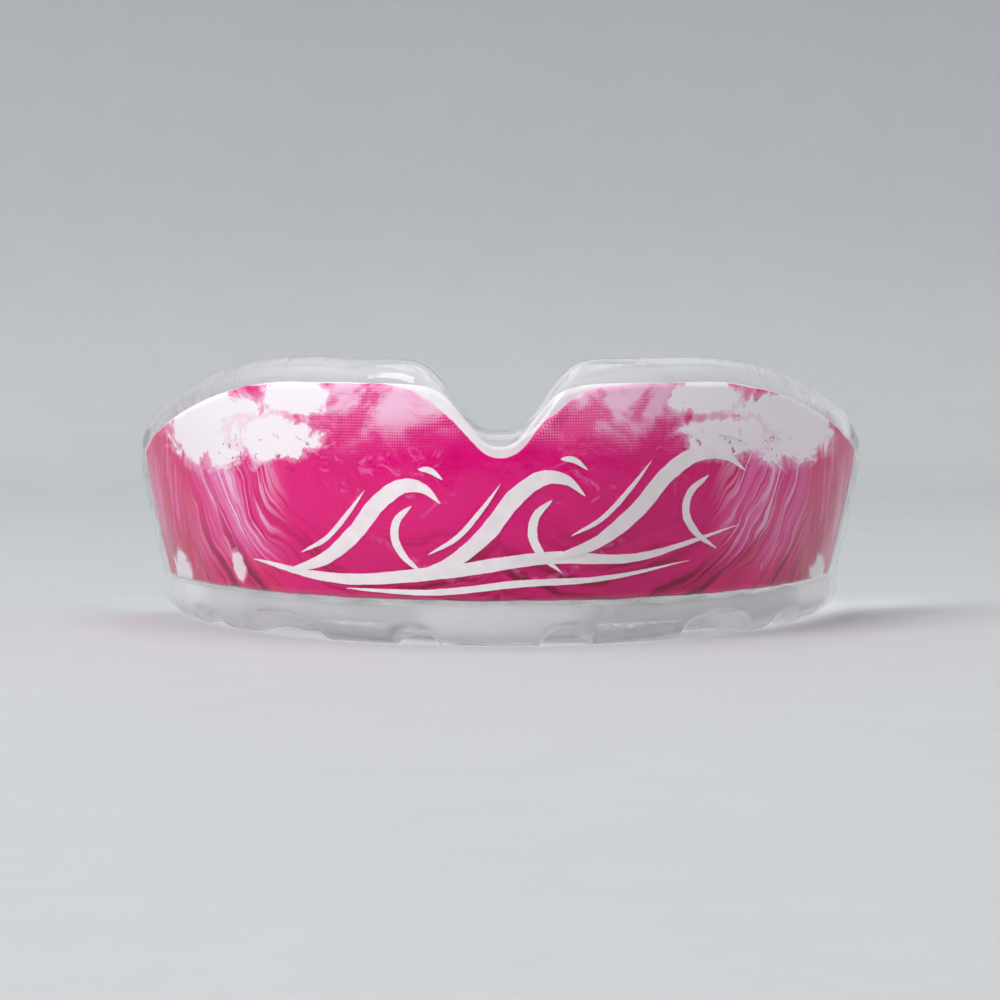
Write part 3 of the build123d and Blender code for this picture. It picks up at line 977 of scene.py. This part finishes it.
def cove():
    """Floor running back under the guard and up into a wall."""
    line = [(COVE_FRONT, 0.0), (COVE_BACK, 0.0)]
    line += [
        (COVE_BACK + COVE_RADIUS * math.sin(t), COVE_RADIUS * (1 - math.cos(t)))
        for t in np.linspace(0, PI / 2, 17)[1:]
    ]
    line.append((COVE_BACK + COVE_RADIUS, COVE_TOP))
    points = np.array([(x, y, z) for x in (-COVE_HALF_WIDTH, COVE_HALF_WIDTH) for y, z in line])
    count = len(line)
    faces = [(i, i + count, i + count + 1, i + 1) for i in range(count - 1)]
    return as_mesh("studio_cove", points, faces, [0] * len(faces), [studio("studio_stone")])


cove()


def lamp(name, spot, aim, size, power):
    """Soft rectangular lamp aimed at a point; sizes in metres, power in watts."""
    data = bpy.data.lights.new(name, "AREA")
    data.shape = "RECTANGLE"
    data.size, data.size_y = size
    data.energy = power
    obj = bpy.data.objects.new(name, data)
    bpy.context.scene.collection.objects.link(obj)
    obj.location = spot
    obj.rotation_euler = (Vector(aim) - Vector(spot)).to_track_quat("-Z", "Y").to_euler()


lamp("key_left", (-0.42, -0.36, 0.48), (0, 0, 0.01), (0.34, 0.34), 3.0)
lamp("fill_right", (0.55, -0.50, 0.30), (0, 0, 0.01), (0.5, 0.5), 1.0)
lamp("top_soft", (0.0, 0.05, 0.62), (0, 0, 0.0), (0.6, 0.4), 1.7)

AIR_COLOUR = (0.80, 0.83, 0.86, 1)
AIR_LOW = 0.08  # strength behind the camera, where the room is darker
AIR_HIGH = 0.58


def studio_air():
    """Pale surroundings, darker on the camera's side, so the front reflects little."""
    world = bpy.data.worlds.new("studio_air")
    world.use_nodes = True
    tree = world.node_tree
    way = tree.nodes.new("ShaderNodeTexCoord")
    split = tree.nodes.new("ShaderNodeSeparateXYZ")
    level = tree.nodes.new("ShaderNodeMapRange")
    limits = {"From Min": -1.0, "From Max": 0.1, "To Min": AIR_LOW, "To Max": AIR_HIGH}
    for key, value in limits.items():
        level.inputs[key].default_value = value
    background = tree.nodes["Background"]
    background.inputs["Color"].default_value = AIR_COLOUR
    tree.links.new(way.outputs["Generated"], split.inputs[0])
    tree.links.new(split.outputs["Y"], level.inputs["Value"])
    tree.links.new(level.outputs[0], background.inputs["Strength"])
    return world


bpy.context.scene.world = studio_air()
bpy.context.scene.view_settings.view_transform = "Standard"

CAMERA_DISTANCE = 0.320  # metres before the front of the guard
CAMERA_HEIGHT = 0.030
CAMERA_DOWN = 3.17  # degrees below level
LENS = 140.5  # millimetres, on a sensor of SENSOR_WIDTH
SENSOR_WIDTH = 36.0

camera_data = bpy.data.cameras.new("camera")
camera_data.lens = LENS
camera_data.sensor_width = SENSOR_WIDTH
camera_data.clip_start = 0.01
camera = bpy.data.objects.new("camera", camera_data)
bpy.context.scene.collection.objects.link(camera)
camera.location = (0.0, cad_low.y - CAMERA_DISTANCE, CAMERA_HEIGHT)
camera.rotation_euler = (math.radians(90 - CAMERA_DOWN), 0, 0)
bpy.context.scene.camera = camera
